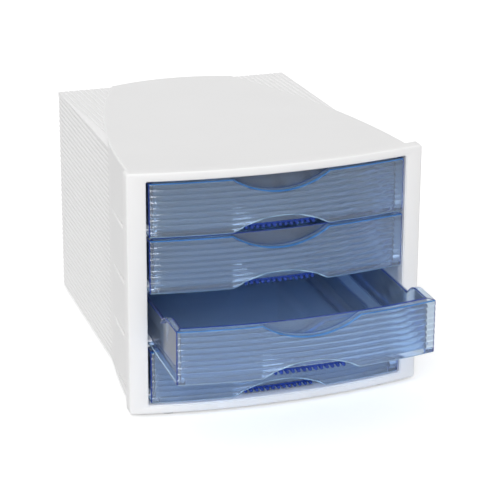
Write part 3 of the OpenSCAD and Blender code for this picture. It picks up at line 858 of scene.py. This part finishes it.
def tray_stations(bow, drawer):
    """Half of the way round a tray from the middle of its front, as places and rim heights.

    Each station is a function from an outward offset to x and y, the height of the rim, the width
    of the lip, and the depth of the lip's front corner where it is mitred.
    """
    stations = []
    half, back = TRAY_HALF, TRAY_BACK
    front = bow_depth(half, bow) + drawer.ledge - drawer.wall
    cheek_end = bow_depth(FRONT_HALF, bow) + CHEEK
    curve = cheek_end - CHEEK_CURVE
    curve_r = (CHEEK_CURVE**2 + RIM_DROP**2) / (2 * RIM_DROP)
    round_front, round_back = 0.9 * MM, 2 * MM

    def rim(y):
        if y <= curve:
            return FRONT_HEIGHT
        if y <= cheek_end:
            return FRONT_HEIGHT - curve_r + math.sqrt(curve_r**2 - (y - curve) ** 2)
        return FRONT_HEIGHT - RIM_DROP - RIM_FALL * (y - curve) / (back - curve)

    def corner(y, turn, radius, degrees):
        def place(offset):
            r = max(radius + offset, 0.0)
            a = math.radians(degrees)
            return half + offset - r + r * math.cos(a), y - turn * (offset - r) + r * math.sin(a)
        return place

    def wall(y):
        def place(offset):
            low = front - offset + max(round_front + offset, 0.0)
            high = back + offset - max(round_back + offset, 0.0)
            return half + offset, min(max(y, low), high)
        return place

    mitre_y = bow_depth(half, bow) + drawer.ledge - drawer.wall / 2 + GAP
    mitre, behind = wall(mitre_y), drawer.plate + GAP

    def add(place, top=FRONT_HEIGHT, lip=0.0, lip_front=None):
        stations.append((place, top, lip, lip_front))

    for x in spread(0, half - round_front, 4 * MM):
        add(lambda offset, x=x: (x, bow_depth(x, bow) + drawer.ledge - drawer.wall - offset))
    for degrees in (-67.5, -45, -22.5, 0):
        add(corner(front, 1, round_front, degrees))
    add(mitre)
    add(mitre, FRONT_HEIGHT, MITRE, bow_depth(half + MITRE, bow) + behind)
    add(mitre, FRONT_HEIGHT, LIP, bow_depth(FRONT_HALF, bow) + behind)
    for y in spread(mitre_y + 4 * MM, curve, 8 * MM):
        add(wall(y), FRONT_HEIGHT, LIP)
    for y in spread(curve, cheek_end, 1.4 * MM)[1:]:
        add(wall(y), rim(y), LIP)
    for y in [cheek_end] + spread(cheek_end + 1.2 * MM, back - round_back, 12 * MM):
        add(wall(y), rim(y), RIM_LIP)
    add(wall(back - round_back), rim(back))
    for degrees in (22.5, 45, 67.5, 90):
        add(corner(back, -1, round_back, degrees), rim(back))
    for x in spread(0, half - round_back, 20 * MM)[-2::-1]:
        add(lambda offset, x=x: (x, back + offset), rim(back))
    return stations


def tray_section(drawer, station):
    """One section through a tray's wall, from its floor over the rim to its underside."""
    place, top, lip, lip_front = station
    wall, edge, under, crease = drawer.wall, 0.6 * MM, 0.3 * MM, min(0.25 * MM, lip)
    hollow, hollow_middle, heel, heel_middle = 1.2 * MM, 0.35 * MM, 0.6 * MM, 0.18 * MM
    floor = TRAY_FLOOR + wall
    inside = [(-wall - hollow, floor), (-wall - hollow_middle, floor + hollow_middle),
              (-wall, floor + hollow), (-wall, top - edge), (-wall + 0.3 * edge, top - 0.3 * edge),
              (-wall + edge, top)]
    outside = [(lip - edge, top), (lip - 0.3 * edge, top - 0.3 * edge), (lip, top - edge),
               (lip, top - wall + min(under, lip)), (max(lip - under, 0.0), top - wall)]
    below = [(crease, top - wall), (0.0, top - wall - crease),
             (0.0, floor + heel), (0.0, TRAY_FLOOR + heel),
             (-heel_middle, TRAY_FLOOR + heel_middle), (-heel, TRAY_FLOOR)]
    points = []
    for n, (offset, z) in enumerate(inside + outside + below):
        x, y = place(offset)
        if lip_front is not None and len(inside) <= n < len(inside) + len(outside):
            y = lip_front
        points.append((x, y, z))
    return points


def tray_runner(bow, drawer):
    """The runner along the bottom of a tray's right side, narrower towards the back."""
    low, high, soft = RUNNER_LIFT, RUNNER_LIFT + RUNNER_HEIGHT, 0.5 * MM
    inner = TRAY_HALF - RUNNER_INSIDE
    rings = []
    for y in [bow_depth(FRONT_HALF, bow) + drawer.plate + GAP] + spread(0, TRAY_BACK - 1 * MM, 24 * MM):
        outer = FRONT_HALF if y <= 0 else FRONT_HALF - RUNNER_TAPER * y / TRAY_BACK
        rings.append([(inner + soft, y, low), (outer - soft, y, low), (outer, y, low + soft),
                      (outer, y, high - soft), (outer - soft, y, high), (inner + soft, y, high),
                      (inner, y, high - soft), (inner, y, low + soft)])
    return rings


def mirrored(rings):
    return [[(-x, y, z) for x, y, z in ring] for ring in rings]


def bead_shape():
    """One grip bead: a short round bar with a rounded front end, at the origin, facing -Y."""
    bar = 5.0 * MM
    rings = []
    for depth, share in ((0.6 * MM, 1.0), (0.9 * MM - bar, 1.0), (0.25 * MM - bar, 0.78), (-bar, 0.4)):
        radius = BEAD_RADIUS * share
        turns = [math.tau * k / BEAD_SIDES for k in range(BEAD_SIDES)]
        rings.append([(radius * math.cos(a), depth, radius * math.sin(a)) for a in turns])
    return skin("bead", rings)


def clear_tray(drawer, bow, materials):
    """A whole tray on its own plane: shell with lips, runners and the row of grip beads."""
    half_way = tray_stations(bow, drawer)
    right = [tray_section(drawer, station) for station in half_way]
    left = mirrored(right[1:-1])
    lips = [station[3] is not None for station in half_way]
    mitres = [n for n in range(len(lips) - 1) if lips[n + 1]]
    last = len(right) + len(left) - 1

    def kind(ring, point):
        """Painted deep-blue shade at the rim's and the heel's edges, the mitres and the front's upper
        corners.
        """
        n = min(ring, last - ring)
        before = n < mitres[0]
        beside_scoop = before and right[n][0][0] > drawer.scoop_width / 2
        painted_shade = (point in (3, 4, 6, 7, 14, 15) or (beside_scoop and point == 5)
                or (n in mitres and point in (5, 8, 9)) or (before and point == 13))
        return PAINTED_SHADE if painted_shade else CLEAR

    def runner_kind(ring, point):
        """Painted deep-blue shade along the lower outer edge and a painted glow along the upper one."""
        return {1: PAINTED_SHADE, 3: PAINTED_GLOW}.get(point, CLEAR)

    shell = skin("tray", right + left[::-1], wrap=True, floored=True, kind=kind)
    fill_slots(shell, materials)
    radius = (HALF_WIDTH**2 + bow**2) / (2 * bow)
    front = (0.0, drawer.ledge - drawer.wall / 2 - bow, TRAY_FLOOR)
    # The beads take the painted deep-blue shade all over
    beads = run_tree(bead_shape(), bead_tree, count=BEADS, pitch=BEAD_PITCH, bow_radius=radius,
                     front=front, material=materials[PAINTED_SHADE])
    fill_slots(beads, materials, [PAINTED_SHADE] * len(beads.polygons))
    runner = tray_runner(bow, drawer)
    runners = [skin("runner", rings, kind=runner_kind) for rings in (runner, mirrored(runner))]
    return joined(shell, *runners, beads)


def joined(mesh, *parts):
    """The union of a closed mesh with others, as one solid."""
    bm = bmesh.new()
    for part in parts:
        bm.from_mesh(part)
    bmesh.ops.recalc_face_normals(bm, faces=bm.faces)
    other = bpy.data.meshes.new("parts")
    bm.to_mesh(other)
    bm.free()
    fill_slots(other, list(mesh.materials))
    helper, added = new_object("helper", mesh), new_object("added", other)
    union = helper.modifiers.new("Union", "BOOLEAN")
    union.operation = "UNION"
    union.solver = "EXACT"
    union.object = added
    made = plain_mesh(helper)
    bpy.data.objects.remove(added)
    return clean(made)


def drawer_pieces(scene, make, label, node, sharp):
    """One piece for each drawer, from a shape that is made once on a drawer's own plane."""
    drawer, bow = scene.drawer_unit_drawer, scene.drawer_unit_case.bow
    materials = drawer_plastic(drawer)
    mesh = make(drawer, bow, materials)
    for i in DRAWERS:
        low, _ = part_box(f"drawer_{i}_front")
        copy = mesh.copy()
        copy.transform(Matrix.Translation((0, low.y + bow, low.z)))
        piece(f"drawer_{i}_{label}", copy, materials, f"drawer_{i}", "drawer_plastic",
              f"drawer_{i}_{node}", sharp=sharp)


# ---- Operators ----


class DRAWERUNIT_OT_stage(bpy.types.Operator):
    """Makes the floor, the surroundings, the lamps and the camera"""

    bl_idname = "drawer_unit.stage"
    bl_label = "Stage"

    def execute(self, context):
        stage = context.scene.drawer_unit_stage
        self.camera(context, stage)
        self.floor()
        self.surroundings(context, stage)
        for name, power, towards, breadth in LAMPS:
            self.lamp(name, getattr(stage, power), towards, breadth)
        context.scene.view_settings.view_transform = "Standard"
        return {"FINISHED"}

    def camera(self, context, stage):
        data = bpy.data.cameras.new("camera")
        data.lens = stage.lens
        data.sensor_width = SENSOR_MM
        camera = new_object("camera", data)
        a, e, r = stage.azimuth, stage.elevation, stage.roll
        back = Vector((-math.sin(a) * math.cos(e), -math.cos(a) * math.cos(e), math.sin(e)))
        right = Vector((math.cos(a), -math.sin(a), 0))
        up = back.cross(right)
        right, up = right * math.cos(r) + up * math.sin(r), up * math.cos(r) - right * math.sin(r)
        turn = Matrix((right, up, back)).transposed().to_4x4()
        camera.matrix_world = Matrix.Translation(stage.camera_place) @ turn
        context.scene.camera = camera

    def floor(self):
        material, tree, shader = new_material("floor_white")
        seen = add_node(tree, "ShaderNodeLightPath", {}, "Is Camera Ray")
        fill_inputs(tree, shader, {
            "Base Color": FLOOR_WHITE,
            "Roughness": 0.9,
            "Specular IOR Level": 0.1,
            "Emission Color": (1, 1, 1, 1),
            "Emission Strength": calc(tree, seen, ("MULTIPLY", FLOOR_LIFT))})
        bm = bmesh.new()
        bmesh.ops.create_circle(bm, cap_ends=True, segments=96, radius=FLOOR_RADIUS)
        mesh = bpy.data.meshes.new("floor")
        bm.to_mesh(mesh)
        bm.free()
        mesh.materials.append(material)
        floor = new_object("floor", mesh)
        floor.location.z = -FLOOR_GAP

    def surroundings(self, context, stage):
        world = bpy.data.worlds.new("surroundings")
        world.use_nodes = True
        tree = world.node_tree
        rays = tree.nodes.new("ShaderNodeLightPath").outputs
        seen = calc(tree, rays["Is Camera Ray"], ("MAXIMUM", rays["Is Glossy Ray"]),
                    ("MAXIMUM", rays["Is Transmission Ray"]))
        strength = add_node(tree, "ShaderNodeMapRange",
                            {"Value": seen, "To Min": stage.sky_power, "To Max": 1.0}, "Result")
        fill_inputs(tree, tree.nodes["Background"], {"Color": (1, 1, 1, 1), "Strength": strength})
        context.scene.world = world

    def lamp(self, name, power, towards, breadth):
        data = bpy.data.lights.new(name, "SUN")
        data.energy = power
        data.angle = math.radians(breadth)
        lamp = new_object(name, data)
        lamp.matrix_world = Vector(towards).to_track_quat("Z", "Y").to_matrix().to_4x4()


class DRAWERUNIT_OT_front_frame(bpy.types.Operator):
    """Makes the bowed front frame"""

    bl_idname = "drawer_unit.front_frame"
    bl_label = "Front frame"

    def execute(self, context):
        case = context.scene.drawer_unit_case
        piece("front_frame_moulding", bowed_frame(case), [case_plastic(case)], "case",
              "case_plastic", "front_frame")
        return {"FINISHED"}


class DRAWERUNIT_OT_case(bpy.types.Operator):
    """Makes the case's sides, top, back, base and runner rails"""

    bl_idname = "drawer_unit.case"
    bl_label = "Case"

    def execute(self, context):
        case = context.scene.drawer_unit_case
        plastic = [case_plastic(case)]
        for side, name in ((-1, "side_left"), (1, "side_right")):
            piece(name + "_moulding", case_side(case, side), plastic, "case", "case_plastic", name,
                  sharp=25)
        nodes = ["top_cover", "back_panel", "base_plate"]
        nodes += [f"rail_{side}_{i}" for side in ("left", "right") for i in DRAWERS]
        for node in nodes:
            piece(node + "_moulding", moulded_copy(node), plastic, "case", "case_plastic", node,
                  sharp=30)
        return {"FINISHED"}


class DRAWERUNIT_OT_feet(bpy.types.Operator):
    """Makes the four round feet"""

    bl_idname = "drawer_unit.feet"
    bl_label = "Feet"

    def execute(self, context):
        case = context.scene.drawer_unit_case
        for place in ("front_left", "front_right", "rear_left", "rear_right"):
            node = "foot_" + place
            piece(node + "_pad", moulded_copy(node, case.foot_edge), [foot_rubber(case)], "case",
                  "foot_rubber", node)
        return {"FINISHED"}


class DRAWERUNIT_OT_fronts(bpy.types.Operator):
    """Makes the four reeded drawer fronts"""

    bl_idname = "drawer_unit.fronts"
    bl_label = "Drawer fronts"

    def execute(self, context):
        drawer_pieces(context.scene, reeded_front, "reeded_front", "front", 55)
        return {"FINISHED"}


class DRAWERUNIT_OT_trays(bpy.types.Operator):
    """Makes the four drawer trays"""

    bl_idname = "drawer_unit.trays"
    bl_label = "Drawer trays"

    def execute(self, context):
        drawer_pieces(context.scene, clear_tray, "clear_tray", "tray", 40)
        return {"FINISHED"}


OPERATORS = (
    DRAWERUNIT_OT_stage,
    DRAWERUNIT_OT_front_frame,
    DRAWERUNIT_OT_case,
    DRAWERUNIT_OT_feet,
    DRAWERUNIT_OT_fronts,
    DRAWERUNIT_OT_trays,
)


class DRAWERUNIT_PT_panel(bpy.types.Panel):
    """Lists what the add-on makes"""

    bl_label = "Drawer Unit"
    bl_idname = "DRAWERUNIT_PT_panel"
    bl_space_type = "VIEW_3D"
    bl_region_type = "UI"
    bl_category = "Drawer Unit"

    def draw(self, context):
        for operator in OPERATORS:
            self.layout.operator(operator.bl_idname)


SETTINGS = {
    "drawer_unit_case": CaseSettings,
    "drawer_unit_drawer": DrawerSettings,
    "drawer_unit_stage": StageSettings,
}


def register():
    for name, group in SETTINGS.items():
        bpy.utils.register_class(group)
        setattr(bpy.types.Scene, name, PointerProperty(type=group))
    for operator in OPERATORS:
        bpy.utils.register_class(operator)
    bpy.utils.register_class(DRAWERUNIT_PT_panel)


def unregister():
    bpy.utils.unregister_class(DRAWERUNIT_PT_panel)
    for operator in reversed(OPERATORS):
        bpy.utils.unregister_class(operator)
    for name, group in SETTINGS.items():
        delattr(bpy.types.Scene, name)
        bpy.utils.unregister_class(group)


def main():
    register()
    bpy.ops.drawer_unit.stage()
    bpy.ops.drawer_unit.front_frame()
    bpy.ops.drawer_unit.case()
    bpy.ops.drawer_unit.feet()
    bpy.ops.drawer_unit.fronts()
    bpy.ops.drawer_unit.trays()


if __name__ == "__main__":
    main()
